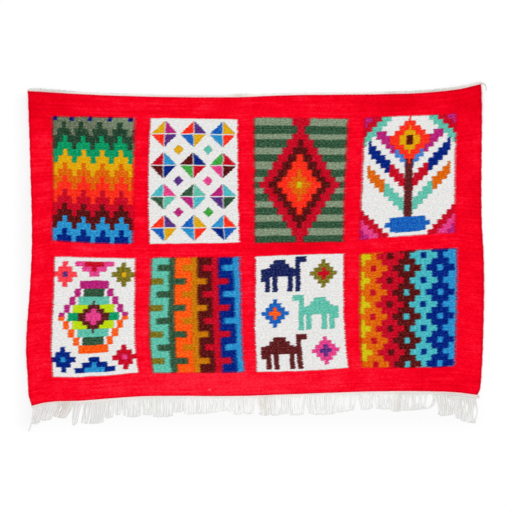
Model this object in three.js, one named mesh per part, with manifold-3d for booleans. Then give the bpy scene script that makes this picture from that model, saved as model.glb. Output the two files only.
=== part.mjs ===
// A flat-woven wool kilim that lies on the floor, face up, with its warps along Y.
//
// It has three pieces. The woven field is one tapestry cloth: its coloured panels are the same
// cloth as its ground, so they aren't raised here. Below its lower end the undyed warps are
// twined into a narrow heading and hang out as a fringe. Above its upper end they are twined
// again and cut short, which leaves a thin frayed edge.
// Millimetres, +Z up, the fringe towards -Y.

import * as THREE from "three";
import { mergeVertices } from "three/addons/utils/BufferGeometryUtils.js";
import Module from "manifold-3d";

const { clamp, lerp } = THREE.MathUtils;
const wasm = await Module();
wasm.setup();

// The cloth
const WIDTH = 1500; // selvedge to selvedge
const LENGTH = 1000; // first weft to last weft
const CLOTH = 2.6; // thickness of the woven cloth
const SELVEDGE = 3.2; // thickness where the wefts turn round the doubled outer warps
const RIM = 1.7; // height of the rounded rim
const RIM_LIFT = 0.4; // how far the rounded rim stands off the floor
const GAP = 0.3; // between the field and each heading

// The lines of the field's mesh: fine ones close to the rim, then an even step
const ACROSS = { fine: [4, 10, 20, 55], step: 66 };
const UP = { fine: [5, 16, 40], step: 66 };

// The cloth isn't square: each edge wanders off the nominal rectangle. "at" runs along the edge
// from its left or lower end, and "out" is how far the edge lies outside the rectangle there.
const TOP_EDGE = [
  { at: 0, out: 12 },
  { at: 240, out: -1 },
  { at: 500, out: -8 },
  { at: 700, out: -8 },
  { at: 850, out: -2 },
  { at: 1170, out: 2 },
  { at: 1300, out: 6 },
  { at: 1430, out: 19 },
  { at: 1500, out: 35 },
];
const BOTTOM_EDGE = [
  { at: 0, out: 27 },
  { at: 50, out: 16 },
  { at: 170, out: 10 },
  { at: 370, out: -4 },
  { at: 700, out: -6 },
  { at: 900, out: -13 },
  { at: 1200, out: -22 },
  { at: 1430, out: -15 },
  { at: 1500, out: -8 },
];
const LEFT_EDGE = [
  { at: 0, out: -12 },
  { at: 30, out: -1 },
  { at: 180, out: 6 },
  { at: 400, out: -8 },
  { at: 520, out: -13 },
  { at: 780, out: -7 },
  { at: 1000, out: 0 },
];
const RIGHT_EDGE = [
  { at: 0, out: -17 },
  { at: 16, out: -6 },
  { at: 60, out: 0 },
  { at: 250, out: 6 },
  { at: 450, out: 6 },
  { at: 560, out: 0 },
  { at: 940, out: 0 },
  { at: 1000, out: -4 },
];

// Where the cloth doesn't lie quite flat. "rise" is the height off the floor at the middle of a
// low swelling, which dies away at "reach" from it.
const SWELLINGS = [
  { x: -750, y: 512, reach: 190, rise: 3 }, // upper left corner
  { x: 746, y: 535, reach: 210, rise: 5 }, // upper right corner
  { x: -756, y: -320, reach: 150, rise: 2.5 }, // bulge of the left selvedge
  { x: 756, y: -150, reach: 160, rise: 2.5 }, // bulge of the right selvedge
  { x: -150, y: 492, reach: 130, rise: 2 }, // upper end, left of the middle
];

// The twined headings. "thick" is the height at the crown and "edge" the height at both sides.
const BOTTOM_HEADING = { thick: 2.6, edge: 1.5, wide: 7 };
const TOP_HEADING = { thick: 2.4, edge: 1.4 };
const TOP_HEADING_WIDTHS = [
  { at: 0, wide: 6 },
  { at: 60, wide: 11 },
  { at: 110, wide: 10 },
  { at: 200, wide: 7 },
  { at: 620, wide: 7 },
  { at: 690, wide: 11 },
  { at: 760, wide: 8 },
  { at: 1000, wide: 7 },
  { at: 1200, wide: 9 },
  { at: 1500, wide: 8 },
];

// The fringe hangs in clumps. Each clump's roots run "from" one place "to" another along the
// cloth's lower end. Its tips lie "lean" to the right of its roots, its middle is bent "bow" to the
// right, and "reach" is how far below the cloth it ends.
const CLUMPS = [
  { from: 18, to: 60, lean: -14, bow: 2, reach: 66 },
  { from: 60, to: 96, lean: -17, bow: 3, reach: 59 },
  { from: 98, to: 148, lean: -24, bow: 4, reach: 56 },
  { from: 151, to: 184, lean: -9, bow: 2, reach: 73 },
  { from: 189, to: 248, lean: -6, bow: 3, reach: 79 },
  { from: 255, to: 281, lean: -3, bow: 0, reach: 67 },
  { from: 288, to: 326, lean: 0, bow: 1, reach: 59 },
  { from: 333, to: 361, lean: 5, bow: -2, reach: 68 },
  { from: 364, to: 410, lean: 9, bow: 2, reach: 66 },
  { from: 414, to: 470, lean: 8, bow: 2, reach: 70 },
  { from: 477, to: 515, lean: 5, bow: 2, reach: 54 },
  { from: 516, to: 553, lean: 0, bow: -2, reach: 62 },
  { from: 556, to: 616, lean: 18, bow: 2, reach: 55 },
  { from: 628, to: 660, lean: 12, bow: 0, reach: 48 },
  { from: 669, to: 702, lean: 4, bow: -1, reach: 63 },
  { from: 708, to: 748, lean: 3, bow: 2, reach: 64 },
  { from: 751, to: 801, lean: 7, bow: -2, reach: 69 },
  { from: 803, to: 857, lean: 0, bow: 2, reach: 68 },
  { from: 864, to: 912, lean: 3, bow: -3, reach: 72 },
  { from: 920, to: 996, lean: 5, bow: -3, reach: 72 },
  { from: 998, to: 1074, lean: 3, bow: 2, reach: 67 },
  { from: 1092, to: 1125, lean: 18, bow: -2, reach: 56 },
  { from: 1130, to: 1180, lean: 18, bow: 3, reach: 61 },
  { from: 1190, to: 1245, lean: 6, bow: -3, reach: 68 },
  { from: 1250, to: 1340, lean: 6, bow: -4, reach: 63 },
  { from: 1350, to: 1407, lean: 5, bow: 3, reach: 78 },
  { from: 1409, to: 1486, lean: 6, bow: 6, reach: 93 },
];
const STRAY_WARP = { from: 5, to: 13, lean: -12, bow: 3, reach: 86 }; // at the lower left corner

// One fringe lock: a few warps that cling together
const LOCK = {
  pitch: 8.6, // from one root to the next
  rooted: 0.45, // how deep in the heading it begins, as a part of the heading's width
  root: 5.2, // width at the root
  belly: 6.0, // width at the middle
  tip: 3, // width at the tip
  high: 2.5, // height at the root
  low: 1.6, // height at the tip
  places: [0, 0.22, 0.6, 1], // where along the lock its sections are
  gather: 0.25, // how far the tips close up towards the middle of the clump
  uneven: 0.12, // how much the lengths of neighbours differ
};

// The frayed ends of the upper heading, and the one that hangs out at its right end
const FRAYED = { count: 64, wide: 3, high: 1.8, shortest: 2.5, longest: 6, lean: 4 };
const STRAY_END = { inside: 4, out: 17, drop: 26, wide: 2.8, high: 1.9 };

// A smooth function of the place, through a table's rows.
function through(rows, column) {
  const places = rows.map((row) => row.at);
  const values = rows.map((row) => row[column]);
  const curve = new THREE.CubicInterpolant(places, values, 1);
  return (at) => curve.evaluate(clamp(at, places[0], places.at(-1)))[0];
}

const topOut = through(TOP_EDGE, "out");
const bottomOut = through(BOTTOM_EDGE, "out");
const leftOut = through(LEFT_EDGE, "out");
const rightOut = through(RIGHT_EDGE, "out");
const topHeadingWide = through(TOP_HEADING_WIDTHS, "wide");

// The point that lies "across" from the left selvedge and "up" from the lower end.
function plan(across, up) {
  const left = -WIDTH / 2 - leftOut(up);
  const right = WIDTH / 2 + rightOut(up);
  const bottom = -LENGTH / 2 - bottomOut(across);
  const top = LENGTH / 2 + topOut(across);
  return {
    x: lerp(left, right, across / WIDTH),
    y: lerp(bottom, top, up / LENGTH),
  };
}

// How far the cloth's underside is off the floor.
function lift({ x, y }) {
  return SWELLINGS.reduce((height, swelling) => {
    const away = Math.hypot(x - swelling.x, y - swelling.y) / swelling.reach;
    return height + (away < 1 ? swelling.rise * (1 - away * away) ** 2 : 0);
  }, 0);
}

// A repeatable number from 0 to 1.
function chance(seed) {
  const wave = Math.sin(seed * 12.9898 + 4.1414) * 43758.5453;
  return wave - Math.floor(wave);
}

// Places along an edge of the field, from its fine lines and its even step.
function stations(length, { fine, step }) {
  const inner = length - 2 * fine.at(-1);
  const count = Math.round(inner / step);
  const even = Array.from({ length: count - 1 }, (_, i) => fine.at(-1) + (inner * (i + 1)) / count);
  const mirrored = fine.toReversed().map((distance) => length - distance);
  return [0, ...fine, ...even, ...mirrored, length];
}

function geometryOf(positions, index) {
  return new THREE.BufferGeometry()
    .setAttribute("position", new THREE.Float32BufferAttribute(positions, 3))
    .setIndex(index);
}

// A closed sheet over a grid of columns and rows. "point" gives each place's x, y, floor and ceiling.
function sheetGeometry(columns, rows, point) {
  const wide = columns.length;
  const layer = wide * rows.length;
  const points = rows.flatMap((row) => columns.map((column) => point(column, row)));
  const positions = [
    ...points.flatMap((p) => [p.x, p.y, p.ceiling]),
    ...points.flatMap((p) => [p.x, p.y, p.floor]),
  ];
  const index = [];
  const quad = (a, b, c, d) => index.push(a, b, c, a, c, d);
  const wall = (a, b) => quad(a, a + layer, b + layer, b);
  for (let row = 0; row < rows.length - 1; row++) {
    const first = row * wide;
    for (let a = first; a < first + wide - 1; a++) {
      quad(a, a + 1, a + wide + 1, a + wide);
      quad(layer + a, layer + a + wide, layer + a + wide + 1, layer + a + 1);
    }
    wall(first + wide, first);
    wall(first + wide - 1, first + 2 * wide - 1);
  }
  for (let column = 0; column < wide - 1; column++) {
    wall(column, column + 1);
    wall(layer - 1 - column, layer - 2 - column);
  }
  return geometryOf(positions, index);
}

// A closed three-sided strand along a list of points, flat underneath.
function strandGeometry(points) {
  const positions = points.flatMap((p, i) => {
    const before = points[Math.max(i - 1, 0)];
    const after = points[Math.min(i + 1, points.length - 1)];
    const run = Math.hypot(after.x - before.x, after.y - before.y);
    const sideX = ((before.y - after.y) / run) * (p.wide / 2);
    const sideY = ((after.x - before.x) / run) * (p.wide / 2);
    return [p.x - sideX, p.y - sideY, p.z, p.x + sideX, p.y + sideY, p.z, p.x, p.y, p.z + p.high];
  });
  const last = 3 * (points.length - 1);
  const index = [0, 2, 1, last, last + 1, last + 2];
  for (let first = 0; first < last; first += 3)
    for (let corner = 0; corner < 3; corner++) {
      const a = first + corner;
      const b = first + ((corner + 1) % 3);
      index.push(a, b, b + 3, a, b + 3, a + 3);
    }
  return geometryOf(positions, index);
}

// The height of the cloth at a distance from one of its edges.
function profile(steps, distance) {
  const step = steps.find(({ within }) => distance < within + 1e-6);
  return step ? step.high : CLOTH;
}

// The woven field: its rim is rounded, and its selvedges are a little thicker than the cloth.
function fieldGeometry() {
  const fromSelvedge = [
    { within: 0, high: RIM },
    { within: ACROSS.fine[1], high: SELVEDGE },
  ];
  const fromEnd = [{ within: 0, high: RIM }];
  return sheetGeometry(stations(WIDTH, ACROSS), stations(LENGTH, UP), (across, up) => {
    const place = plan(across, up);
    const side = Math.min(across, WIDTH - across);
    const end = Math.min(up, LENGTH - up);
    const high = Math.min(profile(fromSelvedge, side), end < 1e-6 ? RIM : Infinity);
    const under = lift(place);
    const rounded = Math.min(side, end) < 1e-6 ? RIM_LIFT : 0;
    return { ...place, floor: under + rounded, ceiling: under + high };
  });
}

// A band of twined warps beyond one end of the field, with "side" -1 below it and 1 above it.
function headingGeometry(side, size, wideAt) {
  const end = side < 0 ? 0 : LENGTH;
  return sheetGeometry(stations(WIDTH, ACROSS), [0, 0.5, 1], (across, part) => {
    const place = plan(across, end);
    const outward = GAP + wideAt(across) * (side < 0 ? 1 - part : part);
    const under = lift(place);
    const crown = part === 0.5;
    return {
      x: place.x,
      y: place.y + side * outward,
      floor: under + (crown ? 0 : RIM_LIFT),
      ceiling: under + (crown ? size.thick : size.edge),
    };
  });
}

// One lock of a clump, from inside the heading down onto the floor and along it.
function lockPoints(clump, across, seed) {
  const root = plan(across, 0);
  const under = lift(root);
  const middle = plan((clump.from + clump.to) / 2, 0).x;
  const shorter = 1 - LOCK.uneven * chance(seed);
  const reach = clump.reach * shorter;
  const tipX = lerp(root.x, middle, LOCK.gather) + clump.lean * shorter;
  const begun = GAP + BOTTOM_HEADING.wide * LOCK.rooted;
  const bow = clump.bow + chance(seed + 0.5) - 0.5;
  const upper = (t) => lerp(LOCK.root, LOCK.belly, 2 * t);
  const lower = (t) => lerp(LOCK.belly, LOCK.tip, 2 * t - 1);
  return LOCK.places.map((t) => ({
    x: lerp(root.x, tipX, t ** 1.3) + bow * Math.sin(Math.PI * t),
    y: root.y - lerp(begun, reach, t),
    z: t === 0 ? under + RIM_LIFT : under * (1 - t) ** 4,
    wide: t < 0.5 ? upper(t) : lower(t),
    high: lerp(LOCK.high - RIM_LIFT, LOCK.low, t),
  }));
}

// All the locks of the fringe, clump by clump.
function fringeLocks() {
  return [STRAY_WARP, ...CLUMPS].flatMap((clump) => {
    const span = clump.to - clump.from;
    const count = Math.max(1, Math.round(span / LOCK.pitch));
    return Array.from({ length: count }, (_, i) => {
      const across = clump.from + (span * (i + 0.5)) / count;
      return lockPoints(clump, across, across);
    });
  });
}

// The short ends that stand out of the upper heading.
function frayedEnds() {
  return Array.from({ length: FRAYED.count }, (_, i) => {
    const across = (WIDTH * (i + 0.3 + 0.4 * chance(i + 300))) / FRAYED.count;
    const root = plan(across, LENGTH);
    const edge = root.y + GAP + topHeadingWide(across);
    const out = lerp(FRAYED.shortest, FRAYED.longest, chance(i + 500));
    const lean = FRAYED.lean * (2 * chance(i + 700) - 1);
    const under = lift(root);
    return [0, 0.6, 1].map((t) => ({
      x: root.x + lean * t * t,
      y: lerp(edge - 3, edge + out, t),
      z: under + (t === 0 ? RIM_LIFT : 0),
      wide: FRAYED.wide * (1 - 0.4 * t),
      high: (FRAYED.high - RIM_LIFT) * (1 - 0.3 * t),
    }));
  });
}

// The twining yarns' loose end at the upper right corner.
function strayEnd() {
  const corner = plan(WIDTH, LENGTH);
  const under = lift(corner);
  const begun = corner.y + GAP + topHeadingWide(WIDTH) / 2;
  const turn = (t) => Math.sin(Math.min(1, t * 1.2) * (Math.PI / 2));
  return [0, 0.25, 0.5, 0.75, 1].map((t) => ({
    x: corner.x + lerp(-STRAY_END.inside, STRAY_END.out, turn(t)),
    y: begun - STRAY_END.drop * t ** 2.2,
    z: t === 0 ? under + RIM_LIFT : under * (1 - t) ** 1.5,
    wide: STRAY_END.wide,
    high: STRAY_END.high,
  }));
}

// Joins closed geometries that meet into one closed geometry.
function joined(geometries) {
  const solids = geometries.map((geometry) => {
    const merged = mergeVertices(geometry, 1e-4);
    const vertProperties = merged.attributes.position.array;
    const triVerts = new Uint32Array(merged.index.array);
    return new wasm.Manifold(new wasm.Mesh({ numProp: 3, vertProperties, triVerts }));
  });
  const mesh = solids.reduce((sum, solid) => sum.add(solid)).getMesh();
  return geometryOf(mesh.vertProperties, Array.from(mesh.triVerts));
}

// A named piece with a material of its own.
function piece(name, geometry, color) {
  geometry.computeVertexNormals();
  const material = new THREE.MeshStandardMaterial({ color, roughness: 0.95, metalness: 0 });
  const mesh = new THREE.Mesh(geometry, material);
  mesh.name = name;
  return mesh;
}

const bottomHeading = headingGeometry(-1, BOTTOM_HEADING, () => BOTTOM_HEADING.wide);
const topHeading = headingGeometry(1, TOP_HEADING, topHeadingWide);
const topEnds = [...frayedEnds(), strayEnd()];

const kilim = new THREE.Group();
kilim.add(
  piece("field", fieldGeometry(), 0xf00a22),
  piece("fringe", joined([bottomHeading, ...fringeLocks().map(strandGeometry)]), 0xe6e3dc),
  piece("top_edge", joined([topHeading, ...topEnds.map(strandGeometry)]), 0xe0dcd2),
);

// The origin is on the floor, under the middle of the whole piece.
const middle = new THREE.Box3().setFromObject(kilim, true).getCenter(new THREE.Vector3());
kilim.position.set(-middle.x, -middle.y, 0);

export default kilim;
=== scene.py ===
# %% [markdown]
# # A flat-woven kilim, laid out on the floor
#
# The rug is one piece of tapestry-woven wool. Its warps run from the lower end to the upper
# one and are hidden by the coloured wefts, which turn back wherever the colour changes. At the
# lower end the undyed warps hang out as a fringe, and at the upper end they are cut short and
# frayed.
#
# The lesson builds it in this order: the studio, the cloth's outline, the cloth, the small
# language for finishes, the dyes and the weave, the red ground, the eight pattern panels, the
# yarns at both ends, and last the floor.

import math

import bpy
import numpy as np
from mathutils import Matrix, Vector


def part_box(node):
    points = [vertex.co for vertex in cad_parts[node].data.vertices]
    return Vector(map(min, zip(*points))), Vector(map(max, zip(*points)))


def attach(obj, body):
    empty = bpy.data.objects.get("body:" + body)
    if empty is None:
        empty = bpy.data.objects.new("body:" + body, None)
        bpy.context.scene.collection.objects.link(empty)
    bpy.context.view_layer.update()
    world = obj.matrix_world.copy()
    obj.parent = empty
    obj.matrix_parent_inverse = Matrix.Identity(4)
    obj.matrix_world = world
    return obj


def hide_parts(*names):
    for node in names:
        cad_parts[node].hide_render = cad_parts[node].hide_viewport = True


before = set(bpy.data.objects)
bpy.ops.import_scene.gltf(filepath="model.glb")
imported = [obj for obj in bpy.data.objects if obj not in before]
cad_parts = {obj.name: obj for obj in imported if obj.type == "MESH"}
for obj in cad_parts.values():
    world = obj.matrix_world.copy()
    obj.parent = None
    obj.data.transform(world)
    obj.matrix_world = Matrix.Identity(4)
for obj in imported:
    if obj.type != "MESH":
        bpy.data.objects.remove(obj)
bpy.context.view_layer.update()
print("nodes:", sorted(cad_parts))

# %% [markdown]
# ## The studio
#
# The rug is seen from straight above. A long lens far away keeps its edges parallel, and the
# height is worked out from the stretch of floor that the view takes in. A lamp could stand
# over the rug, but its light would fall off towards the far corner. So a very broad, far light,
# a little up and to the left, gives the yarns soft shadows, and a white sky fills the rest.
# A view transform without film contrast keeps strong dyes as strong as they are.

# %% Camera, lamp and sky
SEEN_WIDTH = 1.695  # how wide a stretch of the floor is seen, in metres
AIM = (-0.0005, -0.0015)  # the place on the floor in the middle of the view, in metres
SENSOR = 36.0
LENS = 85.0
SKY = 0.72  # brightness that the sky gives a white sheet on the floor
LAMP = 0.33  # brightness that the lamp adds to it
LAMP_SPREAD = 50.0  # how wide the lamp looks from the floor, in degrees
TILT_UP, TILT_SIDE = 24.0, 18.0  # the lamp's tilt from straight above, in degrees

scene = bpy.context.scene
scene.view_settings.view_transform = "Standard"

camera = bpy.data.objects.new("Camera", bpy.data.cameras.new("Camera"))
camera.data.sensor_width = SENSOR
camera.data.lens = LENS
camera.location = (*AIM, SEEN_WIDTH * LENS / SENSOR)
scene.collection.objects.link(camera)
scene.camera = camera

slant = math.cos(math.radians(TILT_UP)) * math.cos(math.radians(TILT_SIDE))
lamp = bpy.data.objects.new("BroadLamp", bpy.data.lights.new("BroadLamp", "SUN"))
lamp.data.angle = math.radians(LAMP_SPREAD)
lamp.data.energy = LAMP * math.pi / slant
lamp.rotation_euler = (math.radians(-TILT_UP), math.radians(-TILT_SIDE), 0)
scene.collection.objects.link(lamp)

scene.world = bpy.data.worlds.new("Sky")
scene.world.use_nodes = True
sky = scene.world.node_tree.nodes["Background"]
sky.inputs["Color"].default_value = (1.0, 1.0, 1.0, 1.0)
sky.inputs["Strength"].default_value = SKY
print("camera at", [round(c, 3) for c in camera.location])

# %% [markdown]
# ## The cloth's outline
#
# A hand-woven rug is never square: its selvedges draw in and bulge, and its ends bow. Each
# edge is a table of a few measured places, with how far it wanders off a plain rectangle, and
# a smooth curve runs through them. Working in the loom's own measures, across and up the
# cloth in millimetres, keeps the pattern straight in the loom while the cloth itself is bent.

# %% Edge tables, in millimetres
WIDTH = 1500.0
LENGTH = 1000.0
TOP_EDGE = [(0, 12), (240, -1), (500, -8), (700, -8), (850, -2), (1170, 2), (1300, 6),
            (1430, 19), (1500, 35)]  # fmt: skip
BOTTOM_EDGE = [(0, 30), (50, 19), (170, 13), (370, -1), (700, -2.5), (900, -9), (1200, -18),
               (1430, -14), (1500, -6)]  # fmt: skip
LEFT_EDGE = [(0, -12), (30, -3), (90, 1), (180, 6), (400, -8), (520, -13), (780, -7), (1000, 0)]
RIGHT_EDGE = [(0, -13), (16, -4), (60, 1.5), (250, 9), (450, 9), (560, 3), (940, 2.5), (1000, 0)]
OUTLINE_PLACES = 501  # how many places along each side its box is measured from
MM = 0.001


def smooth_curve(rows):
    """A smooth curve through rows of a place and a value, as a function of the place."""
    at, value = np.array(rows, dtype=float).T
    last = len(at) - 1

    def evaluate(place):
        place = np.clip(np.asarray(place, dtype=float), at[0], at[last])
        right = np.clip(np.searchsorted(at, place, side="right"), 1, last)
        left = right - 1
        before = np.where(left > 0, left - 1, right)
        after = np.where(right < last, np.minimum(right + 1, last), left)
        half = (at[right] - at[left]) / 2
        b = half / (at[left] - at[before])
        a = half / (at[after] - at[right])
        p = (place - at[left]) / (at[right] - at[left])
        return (
            value[before] * b * (2 * p**2 - p**3 - p)
            + value[left] * ((1 + b) * p**3 - (1.5 + 2 * b) * p**2 + (b - 0.5) * p + 1)
            + value[right] * ((1.5 + a) * p**2 + 0.5 * p - (1 + a) * p**3)
            + value[after] * a * (p**3 - p**2)
        )

    return evaluate


top_out = smooth_curve(TOP_EDGE)
bottom_out = smooth_curve(BOTTOM_EDGE)
left_out = smooth_curve(LEFT_EDGE)
right_out = smooth_curve(RIGHT_EDGE)


def plan(across, up):
    """Where a place on the loom lies on the floor, before the panels' own wander."""
    left = -WIDTH / 2 - left_out(up)
    right = WIDTH / 2 + right_out(up)
    low = -LENGTH / 2 - bottom_out(across)
    high = LENGTH / 2 + top_out(across)
    return left + (right - left) * across / WIDTH, low + (high - low) * up / LENGTH


sides = (np.linspace(0, side, OUTLINE_PLACES) for side in (WIDTH, LENGTH))
edge_x, edge_y = plan(*np.meshgrid(*sides))
low_corner, high_corner = (np.array(corner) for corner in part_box("field"))
middle = (low_corner + high_corner) / 2 / MM
SHIFT_X = middle[0] - (edge_x.min() + edge_x.max()) / 2
SHIFT_Y = middle[1] - (edge_y.min() + edge_y.max()) / 2
print("the cloth lies", round(SHIFT_X, 2), round(SHIFT_Y, 2), "mm off the middle")

# %% [markdown]
# ## The panels' places
#
# The eight panels stand in two rows of four, but no two are alike in size, because the weaver
# set each out by eye. Each could be drawn crooked in its own finish, but its steps would then
# have to be bent one by one. So on the loom the panels fill a straight grid, and the cloth
# itself is stretched. The table gives where each panel's corners really lie and how far the
# middle of each side bulges outwards, and the cloth between the panels follows.

# %% Panel grid and measured corners, in millimetres from the lower left of the rectangle
ACROSS_LINES = np.array([0, 80, 355, 402, 702, 749, 1052, 1099, 1418, 1500])
UP_LINES = np.array([0, 82, 464, 507, 925, 1000])
PANEL_SHAPES = [
    # column, row, upper left, upper right, lower left, lower right,
    # bulges of the left, right, top and bottom side
    (0, 1, (82.5, 928), (353, 923), (81, 519.5), (346, 507.5), (-1.5, -2.5, 1, 2.5)),
    (1, 1, (407.5, 922), (693.5, 918), (404, 506), (700, 510), (7, -1.5, 2.5, -0.5)),
    (2, 1, (749, 924), (1058, 920), (752.5, 509), (1044, 513), (-0.5, -1, -1.5, 0.5)),
    (3, 1, (1116, 923), (1415.5, 938), (1101, 519), (1414.5, 544), (0, 0, 3, -3)),
    (0, 0, (89, 464), (354.5, 458), (83, 66), (365, 80), (-2, -2.5, 1.5, 3)),
    (1, 0, (411.5, 460), (699, 463), (416, 79), (716, 82), (7, 0.5, 0, 0.5)),
    (2, 0, (755, 465), (1045, 474), (759, 83), (1061, 96), (3, -8, 0, 4)),
    (3, 0, (1103, 473), (1418.5, 492), (1107.5, 98), (1411, 101), (6.5, 0, 1.5, 5)),
]

wander = np.zeros((len(UP_LINES), len(ACROSS_LINES), 2))
bulge_across = np.zeros((len(UP_LINES) - 1, len(ACROSS_LINES)))
bulge_up = np.zeros((len(UP_LINES), len(ACROSS_LINES) - 1))
for column, row, *corners, (bulge_left, bulge_right, bulge_top, bulge_bottom) in PANEL_SHAPES:
    first_across, first_up = 1 + 2 * column, 1 + 2 * row
    for corner, (is_right, is_high) in zip(corners, [(0, 1), (1, 1), (0, 0), (1, 0)]):
        i, j = first_across + is_right, first_up + is_high
        x, y = plan(ACROSS_LINES[i], UP_LINES[j])
        wander[j, i] = corner[0] - WIDTH / 2 - x, corner[1] - LENGTH / 2 - y
    bulge_across[first_up, first_across : first_across + 2] = -bulge_left, bulge_right
    bulge_up[first_up : first_up + 2, first_across] = -bulge_bottom, bulge_top


def stretched(across, up):
    """Where a place on the loom lies on the floor, in millimetres, panels' wander included."""
    x, y = plan(across, up)
    i = np.clip(np.searchsorted(ACROSS_LINES, across, side="right") - 1, 0, len(ACROSS_LINES) - 2)
    j = np.clip(np.searchsorted(UP_LINES, up, side="right") - 1, 0, len(UP_LINES) - 2)
    p = (across - ACROSS_LINES[i]) / (ACROSS_LINES[i + 1] - ACROSS_LINES[i])
    q = (up - UP_LINES[j]) / (UP_LINES[j + 1] - UP_LINES[j])
    low = wander[j, i] * (1 - p)[..., None] + wander[j, i + 1] * p[..., None]
    high = wander[j + 1, i] * (1 - p)[..., None] + wander[j + 1, i + 1] * p[..., None]
    off = low * (1 - q)[..., None] + high * q[..., None]
    out_x = (bulge_across[j, i] * (1 - p) + bulge_across[j, i + 1] * p) * 4 * q * (1 - q)
    out_y = (bulge_up[j, i] * (1 - q) + bulge_up[j + 1, i] * q) * 4 * p * (1 - p)
    return x + off[..., 0] + out_x, y + off[..., 1] + out_y


print("largest wander of a panel corner:", round(float(np.abs(wander).max()), 1), "mm")

# %% [markdown]
# ## The cloth
#
# The cloth could be a flat plane with a thickness modifier, but its selvedges are rounder and
# thicker than the rest, where the wefts turn round doubled outer warps. So its two faces are
# one closed grid, built in loom measures, whose faces meet at a rounded rim. It lifts off the
# floor a little at the corners that curl, and has a slight unevenness everywhere.

# %% Heights of the cloth
CLOTH = 2.6  # thickness of the cloth, in millimetres as all that follows
SELVEDGE = 3.2  # thickness of the selvedges
SELVEDGE_ENDS = 12.0  # how far in from the side the thicker strip ends
SELVEDGE_SLOPE = 5.0  # over what width it thins there
ROUNDING = 3.0  # width of the rounded rim at the sides
END_ROUNDING = 0.6  # and at the ends
WAVES_ACROSS, WAVES_UP, WAVES_ASLANT = 61, 43, 37  # lengths of the waves over two pi
BENDS_ACROSS, BENDS_UP = 97, 83  # the same for how the first two kinds bend
MEAN_WAVE, WAVE_RISE = 0.45, 0.17  # their middle height, and how far they rise and fall
SWELLINGS = [
    # x, y, reach, rise
    (-750, 512, 190, 3),
    (746, 535, 210, 5),
    (-756, -320, 150, 2.5),
    (756, -150, 160, 2.5),
    (-150, 492, 130, 2),
]


def lift(x, y):
    """How far the cloth's underside is off the floor, in millimetres."""
    height = np.zeros_like(np.asarray(x, dtype=float))
    for middle_x, middle_y, reach, rise in SWELLINGS:
        distance = np.clip(np.hypot(x - middle_x, y - middle_y) / reach, 0, 1)
        height += rise * (1 - distance**2) ** 2
    return height


def unevenness(x, y):
    """The slight waves that a laid rug keeps, from 0 to about 1 millimetre."""
    waves = np.sin(x / WAVES_ACROSS + 1.3 * np.sin(y / BENDS_ACROSS))
    waves = waves + np.sin(y / WAVES_UP + 1.1 * np.sin(x / BENDS_UP) + 2)
    waves = waves + np.sin((x + 0.6 * y) / WAVES_ASLANT + 4) * 0.6
    return MEAN_WAVE + waves * WAVE_RISE


def thickness(from_side, from_end):
    """The cloth's full thickness there, and how much of it is left by the rounded rim."""
    thicker = np.clip((SELVEDGE_ENDS - from_side) / SELVEDGE_SLOPE, 0, 1)
    full = CLOTH + (SELVEDGE - CLOTH) * thicker
    inward = np.clip(np.minimum(from_side / ROUNDING, from_end / END_ROUNDING), 0, 1)
    return full, np.sqrt(1 - (1 - inward) ** 2)


# %% The cloth's closed grid
GRID = 7.5  # width of a face
RIM_LINES = [0, 0.35, 1, 1.7, 4, 8, 13]  # the grid's lines near a rim
RIM_SWAYS = [(0.5, 2.9), (0.6, 7.3)]  # how far a selvedge sways, and over what length over two pi
SWAYING = 3.0  # how far in from the side it sways
SETTLED = 40.0  # how far in from its rim the cloth lies closer to the floor
RIM_UNEVEN = 0.2  # how much of the slight waves is left at the rim


def lines(length):
    """Grid lines along one side of the cloth, close together near the rim."""
    inner = RIM_LINES[-1]
    count = round((length - 2 * inner) / GRID)
    even = np.linspace(inner, length - inner, count + 1)[1:-1]
    return np.array(RIM_LINES + list(even) + [length - d for d in reversed(RIM_LINES)])


def new_piece(name, points, faces, maps):
    """A smooth mesh object from points in metres, faces, and texture places for each corner."""
    mesh = bpy.data.meshes.new(name)
    mesh.from_pydata(points.tolist(), [], faces)
    for map_name, corners in maps.items():
        layer = mesh.uv_layers.new(name=map_name)
        layer.uv.foreach_set("vector", np.asarray(corners, dtype=np.float32).ravel())
    mesh.shade_smooth()
    piece = bpy.data.objects.new(name, mesh)
    scene.collection.objects.link(piece)
    return piece


def build_cloth():
    """The cloth's object, its faces as rows of points, and the points' places on the loom."""
    across, up = np.meshgrid(lines(WIDTH), lines(LENGTH))
    x, y = stretched(across, up)
    from_side = np.minimum(across, WIDTH - across)
    from_end = np.minimum(up, LENGTH - up)
    fade = np.clip(from_side / SWAYING, 0, 1)
    for far, length in RIM_SWAYS:
        x = x + (1 - fade) * far * np.sin(up / length)
    full, left_over = thickness(from_side, from_end)
    settled = np.clip(np.minimum(from_side, from_end) / SETTLED, RIM_UNEVEN, 1)
    under = lift(x, y) + unevenness(x, y) * settled
    top = under + full / 2 * (1 + left_over)
    bottom = under + full / 2 * (1 - left_over)

    rows, columns = across.shape
    upper = np.arange(rows * columns).reshape(rows, columns)
    lower = upper.copy()
    inner = (slice(1, -1), slice(1, -1))
    lower[inner] = rows * columns + np.arange((rows - 2) * (columns - 2)).reshape(
        rows - 2, columns - 2
    )

    def quads(index, turned):
        corners = [index[:-1, :-1], index[:-1, 1:], index[1:, 1:], index[1:, :-1]]
        return np.stack(corners[::-1] if turned else corners, axis=-1).reshape(-1, 4)

    def points(height, part):
        return np.stack([x + SHIFT_X, y + SHIFT_Y, height], axis=-1)[part].reshape(-1, 3) * MM

    everything = (slice(None), slice(None))
    vertices = np.concatenate([points(top, everything), points(bottom, inner)])
    loom = np.stack([across, up], axis=-1) * MM
    loom = np.concatenate([loom.reshape(-1, 2), loom[inner].reshape(-1, 2)])
    faces = np.concatenate([quads(upper, False), quads(lower, True)])
    return new_piece("Field", vertices, faces.tolist(), {"Loom": loom[faces.ravel()]}), faces, loom


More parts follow.
